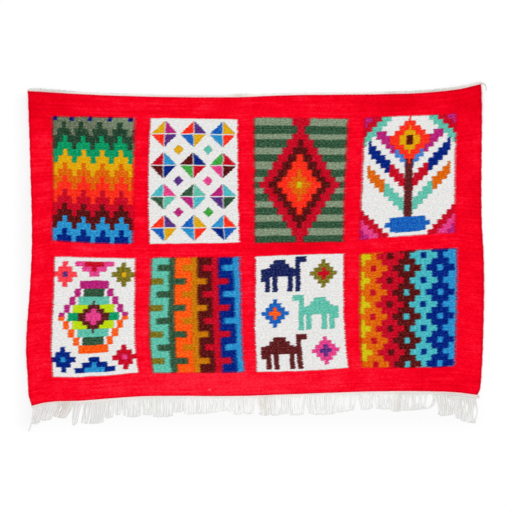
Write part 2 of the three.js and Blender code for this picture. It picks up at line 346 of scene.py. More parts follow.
cloth, cloth_faces, cloth_loom = build_cloth()
print("cloth:", len(cloth.data.vertices), "points,", len(cloth.data.polygons), "faces")

# %% [markdown]
# ## A small language for finishes
#
# Every finish here is arithmetic on a place in the cloth. Wiring hundreds of nodes by hand is
# slow to write and to read, so a Wire stands for what comes out of a node, and sums on wires
# add the Math nodes. A comparison gives a mask of 0 or 1, "&" keeps what two masks share, "|"
# joins them, and "~" turns one round. Between a wire and a number, "&" is the smaller of the
# two and "|" the larger, so they also keep a value below or above a limit.


# %% Wires and finishes
WOOL_ROUGHNESS = 0.95
WOOL_GLOSS = 0.01


class Wire:
    """What comes out of one node. Arithmetic on it adds Math nodes."""

    def __init__(self, finish, socket):
        self.finish = finish
        self.socket = socket

    def math(self, operation, *others):
        return self.finish.node("ShaderNodeMath", {"operation": operation}, [self, *others])

    def __add__(self, other):
        return self.math("ADD", other)

    def __mul__(self, other):
        return self.math("MULTIPLY", other)

    def __sub__(self, other):
        return self.math("SUBTRACT", other)

    def __rsub__(self, other):
        return (self * -1.0) + other

    def __truediv__(self, other):
        return self.math("DIVIDE", other)

    def __floordiv__(self, other):
        return whole(self / other)

    def __mod__(self, other):
        return self.math("FLOORED_MODULO", other)

    def __lt__(self, other):
        return self.math("LESS_THAN", other)

    def __gt__(self, other):
        return self.math("GREATER_THAN", other)

    def __and__(self, other):
        return self.math("MINIMUM", other)

    def __or__(self, other):
        return self.math("MAXIMUM", other)

    def __invert__(self):
        return 1.0 - self

    __radd__ = __add__
    __rmul__ = __mul__


def whole(wire):
    """The whole number below."""
    return wire.math("FLOOR")


def part(wire):
    """What is left above the whole number."""
    return wire.math("FRACT")


def size_of(wire):
    """The number without its sign."""
    return wire.math("ABSOLUTE")


def away(wire, period):
    """How far it is from the nearest multiple of the period."""
    return wire.math("PINGPONG", period / 2)


def between(wire, low, high):
    """A mask of 1 where the wire lies between two numbers."""
    return (wire > low) & (wire < high)


def rounded(wire):
    """A row of rounded ridges, one for each whole number, from 0 in the groove to 1 on top."""
    side = part(wire) * 2.0 - 1.0
    return 1.0 - side * side


class Finish:
    """A material that is being made, with its nodes."""

    def __init__(self, name):
        self.material = bpy.data.materials.new(name)
        self.material.use_nodes = True
        self.tree = self.material.node_tree
        self.shader = self.tree.nodes["Principled BSDF"]

    def node(self, kind, settings, values, out=0):
        """Adds a node: its kind, its settings, the values or wires of its sockets."""
        made = self.tree.nodes.new(kind)
        for name, value in settings.items():
            if name == "stops":
                self.set_stops(made.color_ramp, value)
            else:
                setattr(made, name, value)
        for key, value in values.items() if isinstance(values, dict) else enumerate(values):
            if isinstance(value, Wire):
                self.tree.links.new(value.socket, made.inputs[key])
            else:
                made.inputs[key].default_value = value
        return Wire(self, made.outputs[out])

    def set_stops(self, ramp, stops):
        """Puts colours on a ramp. Stops are rows of a place and a colour."""
        while len(ramp.elements) < len(stops):
            ramp.elements.new(1.0)
        for element, (place, colour) in zip(ramp.elements, stops):
            element.position = place
            element.color = colour

    def place(self, map_name):
        """Both numbers of a texture map, in millimetres."""
        found = self.node("ShaderNodeUVMap", {"uv_map": map_name}, [])
        apart = self.node("ShaderNodeSeparateXYZ", {}, [found])
        along = Wire(self, apart.socket.node.outputs[1])
        return apart * 1000.0, along * 1000.0

    def noise(self, x, y, wide, high, seed, detail=2.0):
        """Soft noise about 0.5 in patches of a width and a height in millimetres."""
        where = self.node("ShaderNodeCombineXYZ", {}, [x / wide + seed, y / high + seed])
        values = {"Vector": where, "Scale": 1.0, "Detail": detail}
        return self.node("ShaderNodeTexNoise", {"noise_dimensions": "2D"}, values)

    def chance(self, x, y):
        """A different number from 0 to 1 for each pair of whole numbers."""
        where = self.node("ShaderNodeCombineXYZ", {}, [x, y])
        return self.node("ShaderNodeTexWhiteNoise", {"noise_dimensions": "2D"}, {"Vector": where})

    def spot(self, x, y, middle_x, middle_y, wide, high):
        """A soft round spot: 1 in its middle and 0 from its rim outwards."""
        where = [(x - middle_x) / wide, (y - middle_y) / high]
        where = self.node("ShaderNodeCombineXYZ", {}, where)
        settings = {"gradient_type": "SPHERICAL"}
        return self.node("ShaderNodeTexGradient", settings, {"Vector": where}, out=1)

    def mix(self, mask, one, other):
        """The first colour where the mask is 0, and the other where it is 1."""
        settings = {"data_type": "RGBA"}
        return self.node("ShaderNodeMix", settings, {0: mask, 6: one, 7: other}, out=2)

    def inlaid(self, colour, shapes):
        """A colour with shapes laid over it in turn.

        Shapes are rows of a mask and what lies there, either a dye's name or a wire.
        """
        for mask, laid in shapes:
            colour = self.mix(mask, colour, DYES[laid] if isinstance(laid, str) else laid)
        return colour

    def scaled(self, colour, value):
        """A colour made darker or lighter."""
        return self.node("ShaderNodeVectorMath", {"operation": "SCALE"}, {0: colour, 3: value})

    def difference(self, one, other):
        """How unlike two colours are, from 0 for the same colour to 1 for very unlike ones."""
        found = self.node("ShaderNodeVectorMath", {"operation": "DISTANCE"}, [one, other], out=1)
        return (found * 1.5) & 1.0

    def dyed(self, colour, depth):
        """Linear light of a colour with more or less dye: each part raised to a power."""
        return self.node("ShaderNodeGamma", {}, [colour, depth * SCREEN_POWER])

    def curve(self, wire, rows):
        """A value that changes with a wire, from rows of a place from 0 to 1 and a value."""
        lowest = min(value for _, value in rows)
        span = max(value for _, value in rows) - lowest
        stops = [(place, (*[(value - lowest) / span] * 3, 1.0)) for place, value in rows]
        ramp = self.node("ShaderNodeValToRGB", {"stops": stops}, [wire])
        return ramp * span + lowest

    def wander(self, down, values):
        """A value down a panel, from what it is at the five places of MEASURED."""
        return self.curve(down, list(zip(MEASURED, values)))

    def passed(self, wire, places):
        """How many places, in rising order between 0 and 1, a wire has passed."""
        count = len(places)
        rows = [(0.0, 0), *((place, i + 1) for i, place in enumerate(places))]
        stops = [(place, (i / count, i / count, i / count, 1.0)) for place, i in rows]
        ramp = self.node("ShaderNodeValToRGB", {"stops": stops}, [wire])
        ramp.socket.node.color_ramp.interpolation = "CONSTANT"
        return whole(ramp * count + 0.5)

    def palette(self, number, dyes):
        """The dye that a whole number picks from a list."""
        count = len(dyes)
        stops = [(i / count, DYES[name]) for i, name in enumerate(dyes)]
        ramp = self.node("ShaderNodeValToRGB", {"stops": stops}, [(number + 0.5) / count])
        ramp.socket.node.color_ramp.interpolation = "CONSTANT"
        return ramp

    def bumped(self, colour, height, depth):
        """Wires a colour and a relief to the shader, and sets what is the same all over."""
        self.tree.links.new(colour.socket, self.shader.inputs["Base Color"])
        bump = self.node("ShaderNodeBump", {}, {"Height": height, "Distance": depth * MM})
        self.tree.links.new(bump.socket, self.shader.inputs["Normal"])
        self.shader.inputs["Roughness"].default_value = WOOL_ROUGHNESS
        self.shader.inputs["Specular IOR Level"].default_value = WOOL_GLOSS
        return self.material


# %% [markdown]
# ## The dyes
#
# The wool is dyed in strong clear colours. Each dye is written as it looks on a screen, from
# 0 to 255. A shader works in linear light, but two yarns that are blended there come out too
# light. So dyes are mixed as a screen shows them, and one power at the very end turns the
# result into linear light.


# %% Dyes
def linear(level):
    """A screen's 0 to 255 level as linear light."""
    level = level / 255
    return level / 12.92 if level <= 0.04045 else ((level + 0.055) / 1.055) ** 2.4


SCREEN_COLOURS = {
    "deep red": (228, 0, 22),
    "red": (250, 4, 33),
    "bright red": (255, 34, 56),
    # lit red is a painted highlight for the ground's outermost rim
    "lit red": (255, 142, 160),
    "natural": (232, 231, 229),
    "sage": (104, 114, 92),
    "light sage": (130, 146, 120),
    "pine": (38, 67, 48),
    "bottle": (51, 84, 60),
    "emerald": (12, 149, 96),
    "leaf": (62, 165, 65),
    "lime": (190, 220, 20),
    "mint": (95, 191, 169),
    "aqua": (72, 182, 192),
    "sky": (42, 144, 203),
    "blue": (25, 95, 185),
    "cornflower": (66, 127, 208),
    "navy": (6, 35, 125),
    "night": (27, 36, 88),
    "ink": (10, 18, 108),
    "purple": (88, 48, 128),
    "magenta": (182, 34, 118),
    "pink": (228, 64, 136),
    "coral": (250, 62, 74),
    "crimson": (198, 12, 36),
    "maroon": (87, 20, 20),
    "brown": (94, 31, 33),
    "vermilion": (250, 46, 27),
    "flame": (252, 88, 20),
    "orange": (221, 100, 13),
    "amber": (200, 118, 12),
    "gold": (224, 166, 14),
    "yellow": (210, 190, 18),
    "olive": (122, 112, 32),
}
SCREEN_POWER = 2.2


def dye(levels):
    """A screen colour as the dyes are mixed here."""
    return (*(linear(level) ** (1 / SCREEN_POWER) for level in levels), 1.0)


DYES = {name: dye(levels) for name, levels in SCREEN_COLOURS.items()}
print(len(DYES), "dyes")

# %% [markdown]
# ## The weave
#
# Packed wefts cover the warps, so what shows are low ribs along the warps, each a stack of
# small beads that lie half a bead out of step with those of its neighbours. Such relief is
# finer than the mesh, so it is a bump, and painted shade darkens its grooves in the colour.
# Hand-dyed yarn takes its dye unevenly: a patch with more dye is darker, most of all in the
# parts of its colour that are dark already, so the colour is raised to a power there. The same
# weave goes over the ground and over every panel, because they are one cloth.

# %% Weave over any colour
WARP = 3.3  # from one rib to the next
BEAD = 1.5  # from one weft's bead to the next on a rib
RIB_SHARE = 0.65  # how much of the relief the ribs are, and the beads are the rest
RELIEF = 0.55  # height of the relief, in millimetres
FLECK = (8.0, 4.0)  # width and height of a fleck of uneven dye
STREAK = (150, 6)  # width and height of a streak of it
DEEPER = 1.15  # how strongly uneven dye changes the dye's depth
DARKER = 0.32  # and how strongly it changes the brightness


def weave(finish, colour, x, y, mottle):
    """Adds ribs, beads, painted shade in their grooves and uneven dye, and makes the material."""
    column = x / WARP
    rib = rounded(column)
    bead = rounded(y / BEAD + whole(column) * 0.5)
    relief = rib * RIB_SHARE + bead * (1 - RIB_SHARE)
    fleck = finish.noise(x, y, *FLECK, 1.3, 1.0) - 0.5
    streak = finish.noise(x, y, *STREAK, 3.1, 3.0) - 0.5
    uneven = (fleck + streak * 0.3) * mottle
    # painted shade: the grooves between ribs and beads are darker; the rest is uneven dye
    shade = 0.93 + relief * 0.1 - uneven * DARKER
    colour = finish.dyed(colour, 1.0 + uneven * DEEPER)
    return finish.bumped(finish.scaled(colour, shade), relief, RELIEF)


# %% [markdown]
# ### Undyed wool in the panels
#
# Undyed wool has no dye that could be uneven, but its fleeces were warm, cool and greyish, and
# spun together. The panels could get a finish of their own for it, but the pattern mixes dyed
# and undyed wool everywhere. So one mottle of faint tints lies over all, and grows with how
# pale the colour is.

# %% Mottle of undyed wool
FLEECE = (9, 7)  # width and height of a patch of one fleece
WARMTH, COOLNESS = 0.14, 0.19  # how strongly the patches are tinted


def flecked(finish, colour, x, y):
    """Faint warm and cool flecks on a colour, only as far as it is pale."""
    apart = finish.node("ShaderNodeSeparateColor", {}, [colour])
    red, green, blue = (Wire(finish, out) for out in apart.socket.node.outputs)
    pale = ((red & green & blue) - 0.5) * 2.2 | 0.0
    warm = (finish.noise(x, y, *FLEECE, 8.8, 1.0) - 0.5) * pale
    cool = (finish.noise(x, y, *FLEECE, 5.9, 1.0) - 0.5) * pale
    tint = [warm * WARMTH + 1.0, warm * -WARMTH + 1.0, cool * COOLNESS + 1.0]
    tint = finish.node("ShaderNodeCombineXYZ", {}, tint)
    return finish.node("ShaderNodeVectorMath", {"operation": "MULTIPLY"}, [colour, tint])


# %% [markdown]
# ### The red ground
#
# The ground's red came from more than one dye bath. One noise over a single red would do, but
# a weaver lays one weft after another, so dye changes in long level streaks. The red is mixed
# from a deep and a bright one by such streaks, by clouds, and by a table of places with painted
# shade and painted light: darker mostly towards the upper corners, lighter in the lower middle.
# Painted shade darkens the selvedges and the ends, and a painted highlight lightens the very
# rim. A few specks of pale lint lie on it.

# %% Red ground
SHADE_AND_LIGHT_SPOTS = [
    # across, up, reach across, reach up, how much brighter: painted light above 0, painted shade
    # below
    (0, 1000, 200, 160, -0.6),
    (1230, 970, 200, 70, -0.45),
    (1500, 1000, 180, 160, -0.55),
    (900, 486, 180, 70, -0.3),
    (1500, 600, 120, 420, -0.2),
    (1420, 30, 190, 120, -0.15),
    (640, 40, 640, 120, 0.5),
    (560, 270, 340, 260, 0.3),
    (238, 486, 170, 70, 0.25),
]
LINT = [
    # across, up, half its width, half its height, strength
    (596, 23, 7, 5, 0.45),
    (716, 824, 2.5, 2.5, 0.5),
    (58, 125, 3, 3, 0.3),
]
SIDE_SHADE_WIDTH, END_SHADE_WIDTH, RIM_HIGHLIGHT_WIDTH = 11.0, 7.0, 2.4  # widths of the painted shade at the sides and at the ends, and of the painted highlight at the rim
GROUND_MOTTLE = 0.45  # how uneven the dye is in the ground


def ground_red(finish, x, y):
    """The red of the ground, with painted shade and painted light at places, not yet at its rim."""
    streak = finish.noise(x, y, 190, 7, 4.4, 3.0) - 0.5
    cloud = finish.noise(x, y, 60, 45, 7.7) - 0.5
    patch = finish.noise(x, y, 14, 9, 2.9, 1.0) - 0.5
    tone = 0.5 + streak * 0.9 + cloud * 0.7 + patch * 0.5
    # painted shade and painted light at the places of the table
    for across, up, wide, high, change in SHADE_AND_LIGHT_SPOTS:
        tone = tone + finish.spot(x, y, across, up, wide, high) * change
    stops = [(0.0, DYES["deep red"]), (0.5, DYES["red"]), (1.0, DYES["bright red"])]
    return finish.node("ShaderNodeValToRGB", {"stops": stops}, [tone])


def make_ground():
    finish = Finish("RedGround")
    x, y = finish.place("Loom")
    from_side, from_end = away(x, WIDTH), away(y, LENGTH)
    # painted shade: darker towards the sides and the ends, at the ends in specks
    side_shade = (1.0 - from_side / SIDE_SHADE_WIDTH) | 0.0
    end_shade = (1.0 - from_end / END_SHADE_WIDTH) | 0.0
    specks = ((finish.noise(x, y, 7, 30, 5.2) - 0.56) * 6.0 | 0.0) & 1.0
    painted_rim_shade = side_shade * side_shade * 0.36 + end_shade * (specks * 0.32 + 0.17)
    colour = finish.scaled(ground_red(finish, x, y), 1.0 - painted_rim_shade)
    # painted highlight: the outermost rim is lighter and pinker
    lit = (1.0 - (from_side * 0.75 & from_end) / RIM_HIGHLIGHT_WIDTH) | 0.0
    colour = finish.mix(lit, colour, DYES["lit red"])
    for across, up, wide, high, strength in LINT:
        spot = finish.spot(x, y, across, up, wide, high)
        colour = finish.mix(spot * strength, colour, DYES["natural"])
    return weave(finish, colour, x, y, GROUND_MOTTLE)


ground = make_ground()
cloth.data.materials.append(ground)
print("ground nodes:", len(ground.node_tree.nodes))

# %% [markdown]
# ## How a panel is woven
#
# Where two colours meet along a warp, their wefts turn back round it in turn, a few each, so
# an upright edge is toothed. A level edge follows the wefts and sways a little. So the pattern
# is read at a place that is shifted by those teeth and that sway, and each panel is one
# function from that place to a dye. At an upright edge fibres of both colours also lie over
# each other and the cloth is a little hollow, so the edge is soft, and painted shade darkens
# it where the hollow is. For this the pattern is read twice, a little to either side, and the
# two are mixed, with painted shade where they differ. The ground just beside a panel is made a
# little darker as well.

# %% Panels
TOOTH = 8.0  # from one coarse tooth to the next up an upright edge
TURN = 3.1  # from one turn of the wefts to the next
TOOTH_REACH = 1.1  # how far a coarse tooth reaches to either side
SWAY, RAGGED, DIP = 5.0, 9.0, 4.0  # how far edges stray: in bends, weft by weft, up and down
SHADED = 12.0  # how far beside a panel its ground is darker
PANEL_MOTTLE = 0.35  # how much more uneven than in the ground the dye is
MEASURED = (0.1, 0.3, 0.5, 0.7, 0.9)  # parts of the way down at which a panel was measured
MARGIN = 15.0  # ground that a panel's material also covers, for its toothed and darker edge
PANELS = {}  # the column and row of each panel: its name and its pattern


def panel(column, row, name, inner, outer):
    """Sets a pattern function aside for one panel.

    inner and outer are how far fibres reach over its upright edges, inside it and round it.
    """

    def keep(pattern):
        PANELS[column, row] = (name, pattern, inner, outer)
        return pattern

    return keep


def sides_of(column, row):
    """The left, right, low and high side of a panel on the loom."""
    return *ACROSS_LINES[1 + 2 * column : 3 + 2 * column], *UP_LINES[1 + 2 * row : 3 + 2 * row]


def make_panel(column, row, name, pattern, inner, outer):
    """The material of one panel and the strip of ground round it."""
    left, right, low, high = sides_of(column, row)
    finish = Finish(name)
    x, y = finish.place("Loom")
    seed = 11.0 * column + 5.0 * row
    teeth = away(y, TOOTH) / TOOTH * 4.0 - 1.0
    turns = away(y, TURN) / TURN * 4.0 - 1.0
    sway = finish.noise(x, y, 60, 34, seed) - 0.5
    ragged = finish.noise(x, y, 40, 7, seed + 6) - 0.5
    dip = finish.noise(x, y, 38, 60, seed + 3) - 0.5
    woven_x = x + teeth * TOOTH_REACH + sway * SWAY + ragged * RAGGED
    woven_y = y + dip * DIP
    ground_colour = ground_red(finish, x, y)

    def read(side):
        rim_x, rim_y = woven_x + (turns + side) * outer, woven_y + side * 0.6 * outer
        inside = between(rim_x, left, right) & between(rim_y, low, high)
        at_x, at_y = woven_x + (turns + side) * inner, woven_y + side * 0.5 * inner
        colour = pattern(finish, at_x, at_y, left, right, low, high)
        return inside, finish.mix(inside, ground_colour, colour)

    inside, one = read(-1.0)
    _, other = read(1.0)
    outside = (woven_x * -1.0 + left) | (woven_x - right)
    near = (1.0 - size_of(outside) / SHADED) | 0.0
    near = near & ~inside & between(y, low, high)
    # painted shade in the hollow joint where the two readings differ, and darker ground beside the
    # panel
    shade = 1.0 - finish.difference(one, other) * 0.1 - near * 0.09
    colour = flecked(finish, finish.scaled(finish.mix(0.5, one, other), shade), x, y)
    return weave(finish, colour, x, y, GROUND_MOTTLE + inside * PANEL_MOTTLE)


# %% [markdown]
# ### Stepped zigzags
#
# Ten bands step up and down across the panel, in peaks four steps wide. A list of squares
# could say it, but the weaver counted, and so does the finish. One formula gives all bands:
# how far a place is from the nearest peak says how many half bands the boundary has dropped
# there, and the count of bands above picks the dye. The weaver did not keep the bands level or
# the peaks upright, so curves say how far they wander.


# %% Zigzag panel
@panel(0, 1, "ZigzagPanel", 1.3, 3.5)
def zigzag(finish, x, y, left, right, low, high):
    down = (high - y) / (high - low)
    lean = finish.wander(down, [-4.3, 2.3, 5, 4, 7])
    part_way = (x - left) / (right - left)
    slip = finish.wander(down, [0, 0, 2.2, 2.5, 1.2])
    x = x - lean * 1.3 * part_way + slip * (1.0 - part_way) * (1.0 - part_way)
    pull = finish.curve(part_way, [(0.03, 0), (0.25, -7), (0.5, -7), (0.8, 0), (0.97, 8)])
    x = x - pull * finish.curve(down, [(0.09, 1), (0.17, 0)])
    y = y + finish.wander(down, [0.8, 4.1, 2.5, 5, 0.8])
    first_peak, step = left + 40.8, 15.77
    first_tip, half_band = high - 15.9, 22.37
    side = away((x - first_peak) / step, 4)
    drop = (first_tip - y) / half_band
    band = (drop - whole(side + 0.5)) // 2
    dyes = ["sage", "pine", "emerald", "gold", "orange", "vermilion", "crimson", "maroon",
            "sky", "navy"]  # fmt: skip
    colour = finish.palette(band + 1, dyes)
    faded = finish.spot(x, y, right, high, 140, 80) & (band < -0.5)
    squares = (side > 1.55) & (y > high - 12.5)
    return finish.inlaid(colour, [(faded, "light sage"), (squares, "ink")])


# %% [markdown]
# ### A stepped diamond
#
# Eighteen stripes in two greens lie behind one large diamond. The diamond's colours lie one
# inside the next, and each is a step narrower for every stripe away from the middle. The
# weaver did not count the wefts of a stripe, so their heights are a table.


# %% Diamond panel
STRIPE_HEIGHTS = [26, 27.5, 17.5, 28, 22, 25, 26, 24, 17, 20.5, 19.5, 25, 21.5, 25, 21.5, 23.5,
                  24.5, 23.5]  # fmt: skip
STRIPE_ENDS = np.cumsum(STRIPE_HEIGHTS) / sum(STRIPE_HEIGHTS)


@panel(2, 1, "DiamondPanel", 2.3, 3.2)
def diamond(finish, x, y, left, right, low, high):
    down = (high - y) / (high - low)
    stripe = finish.passed(down, [float(end) for end in STRIPE_ENDS[:-1]])
    ring = size_of(stripe - 9)
    middle = finish.wander(down, [0, -2.4, -2.4, -0.8, 0.4]) + 901.6
    side = size_of(x - middle) / 14.9
    colour = finish.palette(stripe % 2, ["light sage", "bottle"])
    tip = (stripe < 0.5) & (side < 1.9)
    return finish.inlaid(
        colour,
        [
            ((side < 9.08 - ring * 1.03) | tip, "crimson"),
            (side < 6.95 - ring * 1.07, "maroon"),
            (side < 5.0 - ring * 1.08, "vermilion"),
            (side < 2.6 - ring * 1.05, "orange"),
            (side + ring < 0.55, "yellow"),
        ],
    )


# %% [markdown]
# ### Interlocking tabs
#
# Broad upright bands stand side by side with narrow stems between them. Each stem sends
# tabs to the left and, half a repeat lower, to the right, so the bands hook into each other.
# Each tab could be a mask of its own, but the height's remainder after whole repeats says for
# all stems at once whether a tab is there.


# %% Tab panel
@panel(1, 0, "TabPanel", 2.6, 3.4)
def tabs(finish, x, y, left, right, low, high):
    down = (high - y) / (high - low)
    x = x - finish.wander(down, [-0.6, 0, 1.5, 4, 0.8])
    fall = (y * -1.0 + (high - 24)) % 88
    to_left = (fall < 20.5) & (y > low + 20)
    to_right = between(fall, 45, 65) & (y < high - 40)
    bands = [(x > 470, "flame"), (x > 550, "maroon"), (x > 620, "navy")]
    colour = finish.inlaid(DYES["mint"], bands)
    stems = [
        # from, to, reach of the tabs to the left and to the right, dye
        (left - 20, left, 0.0, 41.0, "olive"),
        (462.5, 482, 38.5, 38.0, "bottle"),
        (538.5, 558.5, 31.0, 32.0, "amber"),
        (607.5, 630, 30.0, 33.0, "crimson"),
        (680, right + 20, 36.0, 0.0, "sky"),
    ]
    for begin, end, reach_left, reach_right, dye_name in stems:
        arm = (x > begin - to_left * reach_left) & (x < end + to_right * reach_right)
        colour = finish.inlaid(colour, [(arm, dye_name)])
    return colour


# %% [markdown]
# ### A lattice of stepped flowers
#
# Flowers five steps wide stand in upright rows, and every other row is moved by half a
# repeat, so that they fill the panel with nothing between them. It is enough to know how wide
# the even rows are at a height: what they leave belongs to the odd rows. Each flower has
# its neighbour's colour at its heart.


# %% Lattice panel
@panel(3, 0, "LatticePanel", 1.8, 3.3)
def lattice(finish, x, y, left, right, low, high):
    down = (high - y) / (high - low)
    x = x - finish.wander(down, [-1, -1.5, -0.4, 1.2, 3.3])
    tilt = finish.wander(down, [8, 11.5, 5.6, 2.3, -2.3])
    y = y + tilt * ((x - left) / (right - left) - 0.5)
    y = y + finish.wander(down, [1, 3, 3, 3, 1])
    across = (x - 1142.1) / 18.53
    up = whole((y - 409.7) / 19.7 + 0.5)
    off = away(up, 4)
    side = away(across, 6)
    even = side < 2.5 - off
    turn = (across + 3) // 6
    gap = across // 6
    evens = ["orange", "maroon", "navy"]
    odds = ["yellow", "crimson", "aqua", "sky"]
    flowers = finish.mix(even, finish.palette(gap + 1, odds), finish.palette(turn, evens))
    hearts = finish.mix(
        even,
        finish.palette(gap + 1, ["orange", "maroon", "navy", "sky"]),
        finish.palette(turn, ["crimson", "aqua", "sky"]),
    )
    heart = ((off < 0.5) & (side < 0.5)) | ((off > 1.5) & (side > 2.5))
    return finish.mix(heart, flowers, hearts)


# %% [markdown]
# ### Quartered lozenges
#
# On undyed wool stand four rows of three lozenges. Each is quartered into triangles of four
# dyes, with a line of undyed wool between them, and a small diamond fills each place where
# four lozenges meet. Each triangle could be a mask of its own, but one lozenge that repeats
# is enough, because a triangle's dye comes from its row, its column and its quarter.


# %% Lozenge panel
@panel(1, 1, "LozengePanel", 1.4, 1.6)
def lozenges(finish, x, y, left, right, low, high):
    wide, tall = (right - left) / 3, (high - low) / 4
    column, row = (x - left) // wide, (y - low) // tall
    side = part((x - left) / wide) * wide - wide / 2
    rise = part((y - low) / tall) * tall - tall / 2
    dyes = ["blue", "crimson", "pink", "bottle", "gold", "sky", "maroon", "mint", "magenta",
            "vermilion", "navy", "leaf", "aqua", "purple"]  # fmt: skip
    quarter = (side > 0) * 4 + (rise > 0) * 9
    number = (column * 5 + row * 3 + quarter) % len(dyes)
    half_wide, half_line, half_diamond = 45.0, 1.8, 17.0
    lozenge = size_of(side) + size_of(rise) < half_wide
    quartered = (size_of(side) & size_of(rise)) > half_line
    colour = finish.mix(lozenge & quartered, DYES["natural"], finish.palette(number, dyes))
    meeting = away(x - left, wide) + away(y - low, tall) < half_diamond
    inner = between(x - left, wide / 2, right - left - wide / 2)
    inner = inner & between(y - low, tall / 2, high - low - tall / 2)
    place = whole((x - left) / wide + 0.5) * 3 + whole((y - low) / tall + 0.5) * 5
    return finish.mix(meeting & inner, colour, finish.palette(place % len(dyes), dyes))


# %% [markdown]
# ### A stepped tree
#
# A brown trunk stands in a stepped pot, with broad stepped branches that rise to both sides
# and a large blossom on top. Steps of colour fill the four corners. Folding the panel about
# its middle halves the work.


# %% Tree panel
@panel(3, 1, "TreePanel", 1.6, 2.6)
def tree(finish, x, y, left, right, low, high):
    unit = 16.6
    side = size_of(x - (left + right) / 2) / unit
    up = (y - low) / unit
    climb = up - 4.5 - whole(side)
    branch = climb // 5
    on_branch = (climb % 5 < 2.7) & between(climb, 0, 14.9) & between(side, 0.5, 8.6)
    twig = side > 5 - branch * 1.0
    pot = (side < 4.6 - size_of(whole(up) - 2)) & between(up, 0.8, 4)
    bloom = side + size_of(whole(up - 20.2) + 0.5)
    colour = finish.inlaid(
        DYES["natural"],
        [
            (on_branch, finish.palette(branch, ["mint", "crimson", "cornflower"])),
            (on_branch & twig, finish.palette(branch, ["orange", "navy", "magenta"])),
            ((side < 0.8) & between(up, 3, 18), "brown"),
            (pot, "blue"),
            (bloom < 4.7, "vermilion"),
            (bloom < 2.7, "gold"),
            (bloom < 1.2, "maroon"),
        ],
    )
    steps = [
        # how many steps the corner leaves free, and the dyes of the lower and the upper corners
        (3.5, "crimson", "mint"),
        (5.5, "pink", "crimson"),
        (7.5, "magenta", "magenta"),
    ]
    for free, lower, upper in steps:
        lower_corner = whole(side) > whole(up) + free
        upper_corner = whole(side) > whole(25.2 - up) + free
        colour = finish.inlaid(colour, [(lower_corner, lower), (upper_corner, upper)])
    return colour


# %% [markdown]
# ### A striped medallion
#
# Seven stripes narrow by a step each towards both ends of the medallion, and a stepped frame
# runs round them. Stepped triangles point at it from above and below, and a small diamond
# fills each corner. The panel is folded about both middles, so a quarter of it is enough, and
# only the dyes tell the quarters apart.


# %% Medallion panel
@panel(0, 0, "MedallionPanel", 1.6, 2.2)
def medallion(finish, x, y, left, right, low, high):
    unit = 16.2
    side_x = (x - (left + right) / 2) / unit
    rise = (y - (low + high) / 2) / unit
    side, height = size_of(side_x), size_of(rise)
    above = rise > 0
    stripe = whole(height / 1.6 + 0.5)
    edge = 5.3 - stripe * 1.05
    frame_dyes = finish.mix(above, DYES["flame"], DYES["magenta"])
    stripes = finish.palette(stripe, ["emerald", "lime", "mint", "bottle"])
    heart = side + whole(height * 1.25)
    point = (whole(height) - 7.3) * 1.5 - side
    corner = whole(size_of(side - 6.2) + 0.5) + whole(size_of(height - 8.4) + 0.5)
    quarter = (side_x > 0) + above * 2
    return finish.inlaid(
        DYES["natural"],
        [
            ((side < edge + 1.9) & (stripe < 4.5), frame_dyes),
            ((side < edge + 0.7) & (stripe < 3.5), "natural"),
            ((side < edge) & (stripe < 3.5), stripes),
            (heart < 3.2, "brown"),
            (heart < 1.6, "pink"),
            ((point > 0) & (height < 11.0), finish.mix(above, DYES["navy"], DYES["pink"])),
            ((point > 2) & (height < 11.0), finish.mix(above, DYES["sky"], DYES["crimson"])),
            (corner < 2.5, finish.palette(quarter, ["navy", "crimson", "coral", "olive"])),
            (corner < 0.5, finish.palette(quarter, ["sky", "pink", "purple", "gold"])),
        ],
    )


# %% [markdown]
# ### A string of animals
#
# Three humped animals walk one above the other, every other one the other way. Each is a few
# blocks on squared paper: a body, four legs, a neck with its head, a tail and a stepped
# hump. Beside each stands a stepped diamond. One set of blocks serves all three, because a
# turned row is counted from the panel's other side.


# %% Animal panel
@panel(2, 0, "AnimalPanel", 1.5, 1.8)
def animals(finish, x, y, left, right, low, high):
    unit = 13.2
    tall = (high - low) / 3
    row = (y - low) // tall
    turned = row % 2
    across = x - left
    mirrored = across + ((right - left) - across * 2.0) * turned
    a = (mirrored - 34) / unit
    b = (part((y - low) / tall) * tall - 7) / unit
    from_body = size_of(a - 4.5)
    legs = between(from_body, 3.3, 4.6) | between(from_body, 1.3, 2.6)
    beast = (from_body < 4.6) & between(b, 3.8, 5.7)
    beast = beast | (legs & between(b, 0, 4))
    beast = beast | ((size_of(a - 3.6) < 8.6 - whole(b)) & between(b, 5.5, 8))
    beast = beast | (between(a, 7.8, 9) & between(b, 5, 8.7))
    beast = beast | (between(a, 7.8, 10.6) & between(b, 7.3, 8.7))
    beast = beast | (between(a, -1.2, 0) & between(b, 2.6, 5.7))
    stack = whole(size_of(a - 15.2) + 0.5) + whole(size_of(b - 4.3) + 0.5)
    return finish.inlaid(
        DYES["natural"],
        [
            (beast, finish.palette(row, ["brown", "mint", "night"])),
            (stack < 3.5, finish.palette(row, ["pink", "blue", "olive"])),
            (stack < 1.5, finish.palette(row, ["purple", "flame", "crimson"])),
        ],
    )


# %% [markdown]
# ### Which faces a panel takes
#
# One finish for the whole cloth could hold all the panels, but each place would then work out
# eight patterns to show one. So each panel has a material of its own, and the cloth's faces
# take it where their middle lies in the panel or in the strip of ground close to it.

